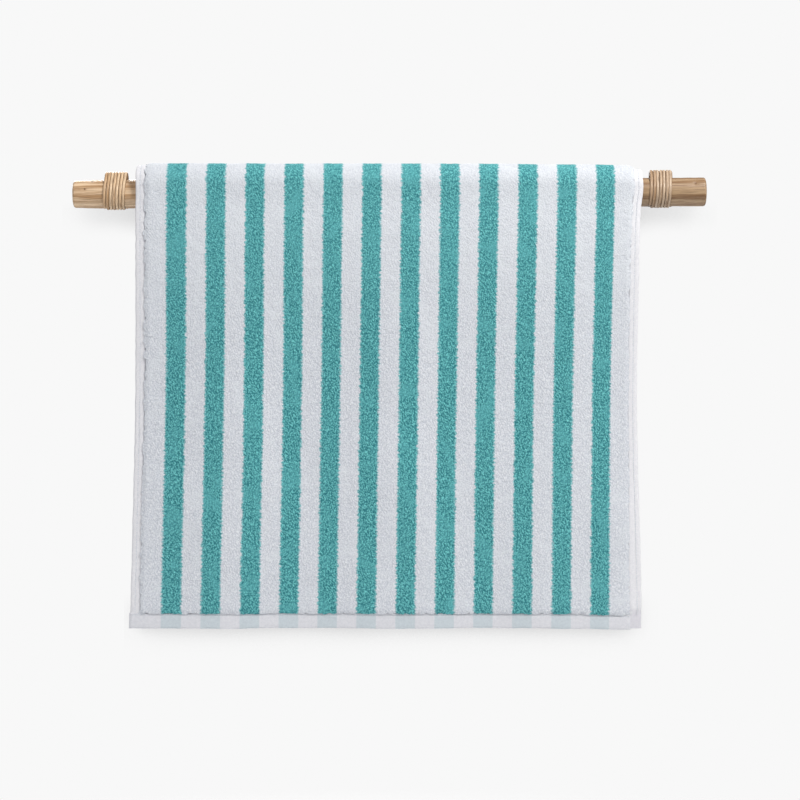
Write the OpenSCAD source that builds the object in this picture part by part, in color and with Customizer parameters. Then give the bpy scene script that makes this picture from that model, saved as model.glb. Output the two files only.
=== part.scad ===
// Striped terry bath towel, folded over a round wooden rail that has a cane
// lashing near each end. X runs along the rail, the towel's front faces -Y,
// +Z is up, and the origin is on the rail's axis at the middle of its length.
// All sizes are in millimetres.

/* [Rail] */
// Length of the wooden rail, end face to end face
rail_length = 955; // [915:1:1100]
// Radius of the rail between the outer edges of the lashings
rail_radius = 21.6; // [21.5:0.1:22.5]
// Radius of the bare end outside the left lashing
left_end_radius = 20; // [16:0.1:21]
// Radius of the bare end outside the right lashing
right_end_radius = 21; // [16:0.1:21]
// Chamfer round each end face of the rail
end_chamfer = 1.5; // [0.5:0.5:3]

/* [Cane lashings] */
// Turns of cane side by side in one lashing
cane_turns = 7; // [5:1:8]
// Width of rail that one turn covers
cane_pitch = 5.2; // [4:0.1:5.5]
// Thickness of the cane
cane_thickness = 1.6; // [1.2:0.1:2.5]
// Width of the groove between two turns
cane_groove = 0.5; // [0.3:0.1:1]
// Bare rail between the towel's side edge and the lashing
lashing_gap = 12.5; // [8:0.5:20]
// Height of the packing block's top above the rail's axis
packing_top = 31.5; // [28:0.5:36]
// Radius of the packing block's rounded top
packing_radius = 10; // [6:0.5:14]

/* [Towel] */
// Width of the towel from side edge to side edge
towel_width = 762; // [740:1:780]
// Length of the towel from end hem to end hem, laid flat
towel_length = 1422; // [1000:1:1600]
// Thickness of the woven ground cloth between the two piles
ground_thickness = 2; // [1:0.5:3]
// Height of the looped pile on each face
pile_height = 4.5; // [2:0.5:6]
// Height of the fold's round top above the rail's axis
fold_lift = 11.4; // [4:0.1:16]
// Clearance between the rail and the pile that hangs beside it
rail_clearance = 0.8; // [0.5:0.1:3]
// Clearance where a hanging panel meets the fold over the rail
panel_clearance = 0.3; // [0.2:0.1:0.5]

/* [Stripes] */
// Number of teal stripes
stripe_count = 12; // [6:1:12]
// Distance from the middle of one teal stripe to the next
stripe_pitch = 58.5; // [50:0.5:60]
// Width of one teal stripe
stripe_width = 28.3; // [20:0.1:35]

/* [Hems] */
// Width of the flat side hems
side_hem_width = 14.5; // [10:0.5:18]
// Height of the flat end hems
end_hem_height = 23.5; // [16:0.5:30]
// Thickness of the hems, three layers of flat cloth
hem_thickness = 4; // [3:0.5:5]
// Distance from the side edge to the line of stitching
side_stitch_inset = 7; // [4:0.5:9]
// Distance from the end hem's top to its line of stitching
end_stitch_inset = 3; // [2:0.5:6]
// Width of a line of stitching
thread_width = 1.2; // [0.8:0.1:2]
// Height of the thread above the hem's face
thread_height = 0.5; // [0.3:0.1:0.8]

/* [Care label] */
// Width of the blank care label
label_width = 45; // [30:1:60]
// Length that the label hangs down
label_length = 17; // [12:1:18]
// Thickness of the folded satin label
label_thickness = 1; // [0.6:0.1:1.4]
// Distance from the end hem's top down to the label's sewn edge
label_inset = 4; // [3:0.5:6]
// Distance from the label's middle to the towel's side edge
label_from_side = 90; // [60:5:300]

/* [Hidden] */
$fn = 96;

LEFT = -1;
RIGHT = 1;
FRONT = -1;
BACK = 1;

TEAL = [0.37, 0.63, 0.64];
WHITE = [0.84, 0.86, 0.88];
HEM = [0.80, 0.82, 0.84];
THREAD = [0.90, 0.91, 0.92];
WOOD = [0.74, 0.61, 0.48];
PACKING = [0.66, 0.53, 0.40];
CANE = [0.78, 0.64, 0.48];

// Play between a lashing or packing block and the wood that it sits on
wood_play = 0.05;

// Lashings, measured along the rail from its middle
towel_edge = towel_width / 2;
lashing_inner = towel_edge + lashing_gap;
lashing_outer = lashing_inner + cane_turns * cane_pitch;
packing_shy = 3;
cane_backing = 0.6;

// Tangent lines from the rail's circle to the packing block's rounded top
packing_centre = packing_top - packing_radius;
tangent_angle = asin((rail_radius - packing_radius) / packing_centre);

// Layers of the cloth, as distances from the middle plane of the hanging panel
inner_face = rail_radius + rail_clearance;
ground_inner = inner_face + pile_height;
ground_outer = ground_inner + ground_thickness;
outer_face = ground_outer + pile_height;
cloth_middle = (inner_face + outer_face) / 2;
hem_inner = cloth_middle - hem_thickness / 2;
hem_outer = cloth_middle + hem_thickness / 2;

// The fold takes a half turn and two short legs of the towel's length
fold_length = PI * cloth_middle + 2 * fold_lift;
panel_drop = (towel_length - fold_length) / 2;
end_hem_top = -(panel_drop - end_hem_height);
panel_top = -panel_clearance;
pile_edge = towel_edge - side_hem_width;

// Left edge of each teal stripe, and the last stripe's right edge
function stripe_left(i) = (i - (stripe_count - 1) / 2) * stripe_pitch - stripe_width / 2;
function stripe_right(i) = stripe_left(i) + stripe_width;

// Both edges of each white band, from the left hem to the right hem
function white_left(i) = i == 0 ? -pile_edge : stripe_right(i - 1);
function white_right(i) = i == stripe_count ? pile_edge : stripe_left(i);

// Carries an outline drawn as (Y, Z) along X, from one place to another
module along_x(from, to) {
    translate([from, 0, 0]) rotate([90, 0, 90]) linear_extrude(to - from) children();
}

// ---- the rail and its lashings ----

// The right bare end, standing on Z, with a chamfer round its end face
module bare_end(radius) {
    translate([0, 0, lashing_outer])
        cylinder(r = radius, h = rail_length / 2 - end_chamfer - lashing_outer);
    translate([0, 0, rail_length / 2 - end_chamfer])
        cylinder(r1 = radius, r2 = radius - end_chamfer, h = end_chamfer);
}

module rail() {
    color(WOOD) rotate([0, 90, 0]) {
        cylinder(r = rail_radius, h = 2 * lashing_outer, center = true);
        bare_end(right_end_radius);
        mirror([0, 0, 1]) bare_end(left_end_radius);
    }
}

// Round the rail's circle and the packing block's rounded top, grown by a margin
module lashing_outline(margin) {
    low = rail_radius + margin;
    high = packing_radius + margin;
    low_y = low * cos(tangent_angle);
    low_z = low * sin(tangent_angle);
    high_y = high * cos(tangent_angle);
    high_z = packing_centre + high * sin(tangent_angle);
    circle(r = low);
    translate([0, packing_centre]) circle(r = high);
    polygon([[-low_y, low_z], [low_y, low_z], [high_y, high_z], [-high_y, high_z]]);
}

module packing(side) {
    near = lashing_inner + packing_shy;
    far = lashing_outer - packing_shy;
    low = side == LEFT ? -far : near;
    color(PACKING) along_x(low, low + far - near) difference() {
        intersection() {
            lashing_outline(0);
            translate([-packing_radius, 0]) square([2 * packing_radius, packing_top + 1]);
        }
        circle(r = rail_radius + wood_play);
    }
}

// One ring round the rail and packing, between two margins
module cane_ring(from, to, margin) {
    along_x(from, to) difference() {
        lashing_outline(margin);
        lashing_outline(wood_play);
    }
}

module lashing(side) {
    start = side == LEFT ? -lashing_outer : lashing_inner;
    length = cane_turns * cane_pitch;
    color(CANE) {
        cane_ring(start, start + length, cane_backing);
        for (i = [0 : cane_turns - 1])
            cane_ring(
                start + i * cane_pitch + cane_groove / 2,
                start + (i + 1) * cane_pitch - cane_groove / 2,
                cane_thickness
            );
    }
}

// ---- the fold over the rail ----

// A half round on two straight legs that stand on the rail's middle plane
module arch(radius) {
    translate([0, fold_lift]) intersection() {
        circle(r = radius);
        translate([-radius, 0]) square([2 * radius, radius]);
    }
    translate([-radius, 0]) square([2 * radius, fold_lift]);
}

// A layer of the fold between two distances from the rail's middle plane
module fold_layer(left, right, inner, outer) {
    along_x(left, right) difference() {
        arch(outer);
        arch(inner);
        translate([-inner, -1]) square([2 * inner, 2]);
    }
}

// Pile on both faces of the fold
module fold_pile(left, right) {
    fold_layer(left, right, ground_outer, outer_face);
    fold_layer(left, right, inner_face, ground_inner);
}

module fold_ground() {
    color(HEM) fold_layer(-pile_edge, pile_edge, ground_inner, ground_outer);
}

module fold_teal() {
    color(TEAL) for (i = [0 : stripe_count - 1]) fold_pile(stripe_left(i), stripe_right(i));
}

module fold_white() {
    color(WHITE) for (i = [0 : stripe_count]) fold_pile(white_left(i), white_right(i));
}

module fold_hem(side) {
    left = side == LEFT ? -towel_edge : pile_edge;
    color(HEM) fold_layer(left, left + side_hem_width, hem_inner, hem_outer);
}

module fold_stitching(side) {
    left = side * (towel_edge - side_stitch_inset) - thread_width / 2;
    color(THREAD) {
        fold_layer(left, left + thread_width, hem_outer, hem_outer + thread_height);
        fold_layer(left, left + thread_width, hem_inner - thread_height, hem_inner);
    }
}

// ---- the hanging panels ----

// A flat layer of a hanging panel between two distances from the middle plane
module panel_layer(face, left, right, bottom, top, inner, outer) {
    near = face == FRONT ? -outer : inner;
    translate([left, near, bottom]) cube([right - left, outer - inner, top - bottom]);
}

// Pile on both faces of a hanging panel
module panel_pile(face, left, right) {
    panel_layer(face, left, right, end_hem_top, panel_top, ground_outer, outer_face);
    panel_layer(face, left, right, end_hem_top, panel_top, inner_face, ground_inner);
}

module panel_ground(face) {
    color(HEM)
        panel_layer(face, -pile_edge, pile_edge, end_hem_top, panel_top, ground_inner, ground_outer);
}

module panel_teal(face) {
    color(TEAL) for (i = [0 : stripe_count - 1])
        panel_pile(face, stripe_left(i), stripe_right(i));
}

module panel_white(face) {
    color(WHITE) for (i = [0 : stripe_count])
        panel_pile(face, white_left(i), white_right(i));
}

module panel_side_hem(face, side) {
    left = side == LEFT ? -towel_edge : pile_edge;
    right = left + side_hem_width;
    color(HEM) panel_layer(face, left, right, end_hem_top, panel_top, hem_inner, hem_outer);
}

module panel_end_hem(face) {
    color(HEM)
        panel_layer(face, -towel_edge, towel_edge, -panel_drop, end_hem_top, hem_inner, hem_outer);
}

// A line of thread on both faces of a hem
module panel_thread(face, left, right, bottom, top) {
    color(THREAD) {
        panel_layer(face, left, right, bottom, top, hem_outer, hem_outer + thread_height);
        panel_layer(face, left, right, bottom, top, hem_inner - thread_height, hem_inner);
    }
}

module panel_side_stitching(face, side) {
    left = side * (towel_edge - side_stitch_inset) - thread_width / 2;
    panel_thread(face, left, left + thread_width, end_hem_top, panel_top);
}

module panel_end_stitching(face) {
    top = end_hem_top - end_stitch_inset;
    edge = towel_edge - end_stitch_inset;
    panel_thread(face, -edge, edge, top - thread_width, top);
}

// ---- the care label, sewn to the back of the end hem and hanging from it ----

module care_label() {
    label_x = towel_edge - label_from_side - label_width / 2;
    label_top = end_hem_top - label_inset - thread_width;
    label_y = hem_outer + thread_height + panel_clearance;
    color(THREAD) translate([label_x, label_y, label_top - label_length])
        cube([label_width, label_thickness, label_length]);
}

rail();
packing(LEFT);  // left_packing
packing(RIGHT);  // right_packing
lashing(LEFT);  // left_lashing
lashing(RIGHT);  // right_lashing

fold_ground();  // top_ground_cloth
fold_teal();  // top_teal_pile
fold_white();  // top_white_pile
fold_hem(LEFT);  // top_left_hem
fold_hem(RIGHT);  // top_right_hem
fold_stitching(LEFT);  // top_left_stitching
fold_stitching(RIGHT);  // top_right_stitching

panel_ground(FRONT);  // front_ground_cloth
panel_teal(FRONT);  // front_teal_pile
panel_white(FRONT);  // front_white_pile
panel_side_hem(FRONT, LEFT);  // front_left_hem
panel_side_hem(FRONT, RIGHT);  // front_right_hem
panel_end_hem(FRONT);  // front_end_hem
panel_side_stitching(FRONT, LEFT);  // front_left_stitching
panel_side_stitching(FRONT, RIGHT);  // front_right_stitching
panel_end_stitching(FRONT);  // front_end_stitching

panel_ground(BACK);  // back_ground_cloth
panel_teal(BACK);  // back_teal_pile
panel_white(BACK);  // back_white_pile
panel_side_hem(BACK, LEFT);  // back_left_hem
panel_side_hem(BACK, RIGHT);  // back_right_hem
panel_end_hem(BACK);  // back_end_hem
panel_side_stitching(BACK, LEFT);  // back_left_stitching
panel_side_stitching(BACK, RIGHT);  // back_right_stitching
panel_end_stitching(BACK);  // back_end_stitching

care_label();
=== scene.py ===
# %% [markdown]
# A striped terry towel hangs folded over a round wooden rail, and a cane lashing sits near each end of
# the rail. The sizes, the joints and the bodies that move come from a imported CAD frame. This lesson puts
# real cloth, wood and cane on that frame. Everything is in metres. X runs along the rail, the towel's
# front faces -Y and Z is up.

# %% Load the frame
import math
import bpy
import numpy as np
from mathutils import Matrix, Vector


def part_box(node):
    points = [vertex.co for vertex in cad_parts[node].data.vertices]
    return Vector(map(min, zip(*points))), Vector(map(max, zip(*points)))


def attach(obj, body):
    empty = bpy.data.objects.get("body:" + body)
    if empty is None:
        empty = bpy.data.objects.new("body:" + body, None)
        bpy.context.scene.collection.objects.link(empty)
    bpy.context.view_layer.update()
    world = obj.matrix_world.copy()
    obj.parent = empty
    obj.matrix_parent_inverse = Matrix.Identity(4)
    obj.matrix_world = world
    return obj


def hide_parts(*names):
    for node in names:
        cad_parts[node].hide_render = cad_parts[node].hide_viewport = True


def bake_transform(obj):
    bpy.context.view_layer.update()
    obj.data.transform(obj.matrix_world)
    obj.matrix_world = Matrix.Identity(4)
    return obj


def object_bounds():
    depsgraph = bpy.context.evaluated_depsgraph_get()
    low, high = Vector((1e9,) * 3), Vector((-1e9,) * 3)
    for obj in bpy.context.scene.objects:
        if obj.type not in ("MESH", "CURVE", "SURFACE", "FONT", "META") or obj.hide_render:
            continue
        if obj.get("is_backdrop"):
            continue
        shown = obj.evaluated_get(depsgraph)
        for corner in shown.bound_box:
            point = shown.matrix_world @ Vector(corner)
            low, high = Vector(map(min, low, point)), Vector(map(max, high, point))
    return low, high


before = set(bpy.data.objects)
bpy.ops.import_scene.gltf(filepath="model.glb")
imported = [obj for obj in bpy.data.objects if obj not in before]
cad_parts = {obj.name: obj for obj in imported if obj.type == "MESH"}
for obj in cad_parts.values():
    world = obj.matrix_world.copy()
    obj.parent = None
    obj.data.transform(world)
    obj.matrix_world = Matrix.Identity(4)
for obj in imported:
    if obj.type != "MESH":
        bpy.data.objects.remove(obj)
cad_low, cad_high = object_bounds()
MM = 0.001


def new_object(name, data):
    """An object with this data, put in the scene."""
    made = bpy.data.objects.new(name, data)
    bpy.context.scene.collection.objects.link(made)
    return made


print("the frame's box:", [round(x, 3) for x in (*cad_low, *cad_high)])

# %% [markdown]
# The camera comes early, because the frame's checks look through it. It stands straight in front of the
# front panel, a little to the right of the middle and level with the middle of the hanging cloth. A long
# lens keeps the sides of the towel parallel. It is a hair out of level.

# %% Place the camera
VIEW_WIDTH = 1.1984
LENS, SENSOR = 100.0, 36.0
CAMERA_X, CAMERA_Z, CAMERA_ROLL = 0.0147, -0.313, 0.0037
front_face_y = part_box("front_teal_pile")[0].y
camera_data = bpy.data.cameras.new("camera")
camera_data.lens, camera_data.sensor_width = LENS, SENSOR
camera = new_object("camera", camera_data)
camera.location = (CAMERA_X, front_face_y - VIEW_WIDTH * LENS / SENSOR, CAMERA_Z)
camera.rotation_euler = (math.radians(90), CAMERA_ROLL, 0)
bpy.context.scene.camera = camera
print("camera", [round(x, 3) for x in camera.location])

# %% [markdown]
# All measures of the towel are read back from the frame's nodes, so a change in the CAD moves the cloth
# with it. The cloth has a middle surface. Over the rail it follows a half circle, and then it hangs
# straight down.

# %% Read the towel's measures from the frame
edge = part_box("front_end_hem")[1].x
hem_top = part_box("front_end_hem")[1].z
hem_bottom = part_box("front_end_hem")[0].z
hem_half = (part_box("front_end_hem")[1].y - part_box("front_end_hem")[0].y) / 2
pile_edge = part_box("front_ground_cloth")[1].x
ground_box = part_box("front_ground_cloth")
ground_half = (ground_box[1].y - ground_box[0].y) / 2
fold_radius = -(ground_box[0].y + ground_box[1].y) / 2
pile_half = -front_face_y - fold_radius
fold_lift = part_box("top_ground_cloth")[1].z - fold_radius - ground_half
quarter = fold_radius * math.pi / 2
half_length = quarter + fold_lift - hem_bottom
pile_end = quarter + fold_lift - hem_top
print("half the towel is", round(half_length, 4), "m long, pile", round(2 * pile_half / MM, 1), "mm thick")

STRIPES, STRIPE_PITCH, STRIPE_WIDTH = 12, 58.5 * MM, 28.3 * MM
FRONT, BACK = -1, 1
HALVES = {"front": FRONT, "back": BACK}
LABEL_X = (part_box("care_label")[0].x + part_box("care_label")[1].x) / 2

# %% [markdown]
# Real cloth is never even, so most shapes here get a little noise. This noise comes from a hash of whole
# numbers, so it is the same on every run. A soft version blends between the numbers of a lattice of any
# cell size.

# %% Repeatable noise
def hashed(i, j, seed):
    """A number from -1 to 1 for each pair of whole numbers."""
    n = (i.astype(np.int64) * 374761393 + j.astype(np.int64) * 668265263 + seed * 362437) & 0xFFFFFFFF
    n = ((n ^ (n >> 13)) * 1274126177) & 0xFFFFFFFF
    return ((n ^ (n >> 16)) & 0xFFFFFF) / 0x7FFFFF - 1.0


def soft_noise(a, b, cell, seed):
    """Noise from -1 to 1 that changes smoothly over a distance of one cell."""
    x, y = np.asarray(a) / cell, np.asarray(b) / cell
    i, j = np.floor(x), np.floor(y)
    fx, fy = x - i, y - j
    fx, fy = fx * fx * (3 - 2 * fx), fy * fy * (3 - 2 * fy)
    low = hashed(i, j, seed) * (1 - fx) + hashed(i + 1, j, seed) * fx
    high = hashed(i, j + 1, seed) * (1 - fx) + hashed(i + 1, j + 1, seed) * fx
    return low * (1 - fy) + high * fy


def ease(t):
    """0 before t = 0, 1 after t = 1, and smooth between."""
    t = np.clip(t, 0, 1)
    return t * t * (3 - 2 * t)


print("noise sample", np.round(soft_noise(np.arange(3) * 0.3, np.zeros(3), 1.0, 1), 3))

# %% [markdown]
# The drape is worked out once, for the middle of the cloth. Each point of the towel has two cloth
# coordinates: u runs across the towel and s runs down it from the top of the fold. The plain drape
# follows the frame. The hang adds what the styled towel does: it hangs a hair crooked on the rail, its
# sides lean to the left as they go down, its hem dips at one corner, and the woven stripes sit a little
# to the right of the middle.

# %% The plain drape and the hang
CROOKED = 0.0037
STRIPE_DRIFT = 3.2 * MM


def plain_middle(u, s, side):
    """Middle of the cloth: a quarter circle over the rail, then straight down."""
    turn = np.minimum(s / fold_radius, math.pi / 2)
    below = np.maximum(s - quarter, 0)
    y = side * fold_radius * np.sin(turn)
    z = fold_lift + fold_radius * np.cos(turn) - below
    return np.stack([u + 0 * s, y + 0 * u, z + 0 * u], -1)


def hang(u, z):
    """How far each point of the cloth sits from the plain drape, in x and z."""
    depth = np.maximum(-z, 0)
    across = (u / edge + 1) / 2
    # Both sides lean to the left. The right one is drawn in below the rail and let out again lower down.
    left = -8.2 * MM * np.clip((depth - 0.2) / 0.44, 0, 2) ** 1.5
    right = -9.8 * MM * np.tanh(depth / 0.33)
    inward = -4.5 * MM * (1 - np.exp(-depth / 0.03)) * (1 - depth / 0.48)
    outward = 5.7 * MM * ease((depth - 0.3) / 0.34)
    pull = (inward + outward) * ease((u - 0.33) / 0.04)
    lean = left * (1 - across) + right * across + pull
    # The top of the fold slopes down to the right, and the hem dips at the lower right corner.
    crown = ease((z + 0.01) / 0.05)
    slope = 1.2 * MM - 2.6 * MM * across - 3.5 * MM * ease((u - 0.348) / 0.03)
    dip = -2.2 * MM * ease((u - 0.27) / 0.08) * ease((depth - 0.3) / 0.35)
    lean = lean + CROOKED * z + STRIPE_DRIFT * ease((edge - np.abs(u)) / 0.08)
    return lean, slope * crown + dip + 0.5 * MM * np.sin(9 * u + 1) * crown - CROOKED * u


hem_lean = hang(np.array([-edge, edge]), np.full(2, hem_bottom))[0]
print("lean at the hem", np.round(hem_lean / MM, 1), "mm")

# %% [markdown]
# Cloth keeps soft waves because its bending stiffness and its weight balance. A formula could fake them,
# but Blender's cloth solver finds them for us. A coarse net of the whole towel starts slightly rumpled,
# is held where it lies over the rail, and falls for a second. Only the in and out movement is kept, and
# it is capped, so the cloth stays in the space that the frame gives it. The fine meshes then read their
# shape from this small net.

# %% Let a coarse net of the towel settle
NET_ACROSS, NET_DOWN, SETTLE_FRAMES = 41, 37, 26
RUMPLE, WAVE_CAP = 5.5 * MM, 5.5 * MM


def settle_net():
    """The in and out movement of each net point, for each half, as {side: array of rows by columns}."""
    u = np.linspace(-edge, edge, NET_ACROSS)
    s = np.linspace(0, half_length, NET_DOWN)
    rows = [(side, value) for side, values in ((FRONT, s[::-1]), (BACK, s[1:])) for value in values]
    flat = np.concatenate([plain_middle(u, np.full(NET_ACROSS, value), side) for side, value in rows])
    depth = np.maximum(-flat[:, 2], 0)
    side_of = np.repeat([side for side, _ in rows], NET_ACROSS)
    start = flat.copy()
    # The net starts rumpled where it hangs, and is held where it lies over the rail.
    rumple = soft_noise(flat[:, 0] + 3 * side_of, depth * 0.35, 0.13, 5)
    rumple = rumple + 0.5 * soft_noise(flat[:, 0], depth, 0.07, 6)
    start[:, 1] += RUMPLE * rumple * ease(depth / 0.25)
    count = len(rows)
    grid = np.arange(count * NET_ACROSS).reshape(count, NET_ACROSS)
    faces = np.stack([grid[:-1, :-1], grid[1:, :-1], grid[1:, 1:], grid[:-1, 1:]], -1).reshape(-1, 4)
    mesh = bpy.data.meshes.new("towel_net")
    mesh.from_pydata(start.tolist(), [], faces.tolist())
    net = new_object("towel_net", mesh)
    held = net.vertex_groups.new(name="held")
    held.add([int(i) for i in np.flatnonzero(depth < 1 * MM)], 1.0, "REPLACE")
    cloth = net.modifiers.new("cloth", "CLOTH")
    terry_weight = {"quality": 6, "mass": 0.25, "air_damping": 2, "vertex_group_mass": "held"}
    stiffness = {"tension": 40, "compression": 40, "shear": 20, "bending": 8}
    for key, value in terry_weight.items():
        setattr(cloth.settings, key, value)
    for key, value in stiffness.items():
        setattr(cloth.settings, key + "_stiffness", value)
    cloth.collision_settings.use_collision = False
    cloth.point_cache.frame_start, cloth.point_cache.frame_end = 1, SETTLE_FRAMES
    for number in range(1, SETTLE_FRAMES + 1):
        bpy.context.scene.frame_set(number)
    settled = net.evaluated_get(bpy.context.evaluated_depsgraph_get())
    places = np.array([v.co for v in settled.data.vertices])
    bpy.context.scene.frame_set(1)
    bpy.data.objects.remove(net)
    wave = np.clip(places[:, 1] - flat[:, 1], -WAVE_CAP, WAVE_CAP).reshape(count, NET_ACROSS)
    return {FRONT: wave[NET_DOWN - 1 :: -1], BACK: wave[NET_DOWN - 1 :]}


waves = settle_net()
print("waves up to", round(max(np.abs(w).max() for w in waves.values()) / MM, 1), "mm")

# %% [markdown]
# Every piece of the towel is laid on the settled cloth by one function. It takes the two cloth
# coordinates and a height above the middle of the cloth, and gives a place in the room. Reading the
# coarse net with smooth curve weights leaves no facets. The cloth's own normal comes from two small steps
# across and down the surface.

# %% Put a point on the settled cloth
def curve_weights(t):
    """The four weights of a smooth curve through a row of net points."""
    second, third = 3 * t**3 - 6 * t**2 + 4, -3 * t**3 + 3 * t**2 + 3 * t + 1
    return ((1 - t) ** 3 / 6, second / 6, third / 6, t**3 / 6)


def read_wave(u, s, side):
    """The net's in and out movement at any place on the cloth. It is calm where the care label is sewn."""
    x = (u + edge) / (2 * edge) * (NET_ACROSS - 1)
    y = np.abs(s) / half_length * (NET_DOWN - 1)
    i, j = np.floor(x).astype(int), np.floor(y).astype(int)
    total = 0
    for row, down in enumerate(curve_weights(y - j)):
        for column, over in enumerate(curve_weights(x - i)):
            net_row = np.clip(j + row - 1, 0, NET_DOWN - 1)
            net_column = np.clip(i + column - 1, 0, NET_ACROSS - 1)
            total = total + down * over * waves[side][net_row, net_column]
    if side == BACK:
        calm = np.exp(-(((u - LABEL_X) / 0.05) ** 2)) * ease((s - half_length + 0.12) / 0.07)
        total = total * (1 - 0.85 * calm)
    return total


def middle(u, s, side):
    """The middle of the draped cloth, which bellies out a little below the rail and again at the hem."""
    place = plain_middle(u, s, side)
    lean, rise = hang(u, place[..., 2])
    place[..., 0] += lean
    depth = np.maximum(-place[..., 2], 0)
    belly = 4.5 * MM * np.sin(math.pi * depth / 0.21) * np.exp(-depth / 0.5) * ease(depth / 0.06)
    place[..., 1] += read_wave(u, s, side) + side * belly
    place[..., 2] += rise
    return place


def on_cloth(u, s, side, height):
    """A point that stands off the middle of the cloth, away from the rail if height is above 0."""
    u, s, height = np.broadcast_arrays(u, s, height)
    step = 2 * MM
    over = middle(u + step, s, side) - middle(u - step, s, side)
    down = middle(u, s + step, side) - middle(u, np.abs(s - step), side)
    near_top = s < step
    down[near_top] = (0, side, 0)
    out = np.cross(down, over) * -side
    out /= np.linalg.norm(out, axis=-1, keepdims=True)
    return middle(u, s, side) + out * height[..., None]


sample = on_cloth(np.array([0.0, 0.0]), np.array([0.0, 0.4]), FRONT, np.full(2, pile_half))
print("fold top and front face at", np.round(sample, 4).tolist())

# %% [markdown]
# Cloth bands, hems, thread, cane and the rail are all lofts: a row of section points is carried along the
# piece and each row is joined to the next. Many lofts can share one mesh, so a whole set of stripes stays
# one piece. Each loft keeps the cloth coordinates of its points in a UV map, so a pattern in a material
# stays on the cloth as it moves. A second UV map gives the finished surface an even place in a baked
# image.

# %% Loft rows of section points
def loft(rows, cloth, hard=(), place=(0, 1, 0, 1), shares=None):
    """Joins rows of section points, an array of rows by section points by 3, into one closed skin."""
    count, around = rows.shape[:2]
    index = np.arange(count * around).reshape(count, around)
    after = np.roll(index, -1, axis=1)
    quads = np.stack([index[:-1], after[:-1], after[1:], index[1:]], -1)
    a = np.linspace(0, 1, around + 1) if shares is None else shares
    a = place[0] + a * (place[1] - place[0])
    b = np.linspace(place[2], place[3], count)
    corners = ((0, 0), (1, 0), (1, 1), (0, 1))
    spread = []
    for i, j in corners:
        spread.append(np.broadcast_arrays(a[i : around + i][None], b[j : count - 1 + j][:, None]))
    bake = np.stack([np.stack(pair, -1) for pair in spread], 2)
    smooth = np.ones((count - 1, around), bool)
    smooth[:, list(hard)] = False
    points = rows.reshape(-1, 3)
    # The sign of the volume says which way the section runs, so that every face looks outward.
    p = points[quads.reshape(-1, 4)]
    middle_of = points.mean(0)
    volume = np.einsum("ij,ij->", np.cross(p[:, 1] - p[:, 0], p[:, 3] - p[:, 0]), p.mean(1) - middle_of)
    step = 1 if volume > 0 else -1
    ends = [index[0][::-step].tolist(), index[-1][::step].tolist()]
    return {
        "points": points,
        "quads": quads.reshape(-1, 4)[:, ::step],
        "bake": bake.reshape(-1, 4, 2)[:, ::step],
        "smooth": smooth.reshape(-1),
        "ends": ends,
        "cloth": np.broadcast_to(cloth, (count, around, 2)).reshape(-1, 2),
    }


print("a loft gives", ", ".join(loft(np.zeros((2, 3, 3)), np.zeros(2))))

# %% [markdown]
# A piece gathers its lofts into one mesh object. It writes both UV maps, and marks the edges of flat
# faces as sharp, because smooth shading would otherwise pull dark rims into the pile beside its thin
# walls.

# %% Make one piece from many lofts
def make_piece(name, lofts, material):
    """One mesh object from a list of lofts."""
    starts = np.cumsum([0] + [len(part["points"]) for part in lofts])
    faces, smooth, bake, ends = [], [], [], []
    for part, start in zip(lofts, starts):
        faces.append(part["quads"] + start)
        smooth.append(part["smooth"])
        bake.append(part["bake"])
        ends += [[i + int(start) for i in end] for end in part["ends"]]
    quads = np.concatenate(faces)
    points = np.concatenate([part["points"] for part in lofts])
    cloth = np.concatenate([part["cloth"] for part in lofts])
    mesh = bpy.data.meshes.new(name)
    mesh.from_pydata(points.tolist(), [], quads.tolist() + ends)
    corner = np.empty(len(mesh.loops), np.int32)
    mesh.loops.foreach_get("vertex_index", corner)
    mesh.uv_layers.new(name="cloth").data.foreach_set("uv", cloth[corner].astype(np.float32).ravel())
    # The end caps share a small spot in the corner of the bake map.
    rounds = [np.linspace(0, 2 * math.pi, len(end), endpoint=False) for end in ends]
    tips = [0.994 + 0.004 * np.stack([np.cos(t), np.sin(t)], -1) for t in rounds]
    flat = np.concatenate([np.concatenate(bake).reshape(-1, 2)] + tips)
    mesh.uv_layers.new(name="OFBake").data.foreach_set("uv", flat.astype(np.float32).ravel())
    mesh.uv_layers["cloth"].active_render = True
    soft = np.concatenate(smooth + [np.zeros(len(ends), bool)])
    mesh.polygons.foreach_set("use_smooth", soft)
    edge_of = np.empty(len(mesh.loops), np.int32)
    mesh.loops.foreach_get("edge_index", edge_of)
    corners_of = np.concatenate([np.full(len(quads), 4), [len(end) for end in ends]]).astype(int)
    crisp = np.zeros(len(mesh.edges), bool)
    crisp[edge_of[np.repeat(~soft, corners_of)]] = True
    mesh.attributes.new("sharp_edge", "BOOLEAN", "EDGE").data.foreach_set("value", crisp)
    mesh.materials.append(material)
    piece = new_object(name, mesh)
    print(name, len(mesh.vertices), "points", len(mesh.polygons), "faces")
    return piece


print("pieces will be linked to", bpy.context.scene.collection.name)

# %% [markdown]
# Materials come before the pieces. This helper wires a node tree from short lines: each call adds a node,
# sets its plain values and links its inputs. The textures and steps that come up often have a short name
# of their own.

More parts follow.
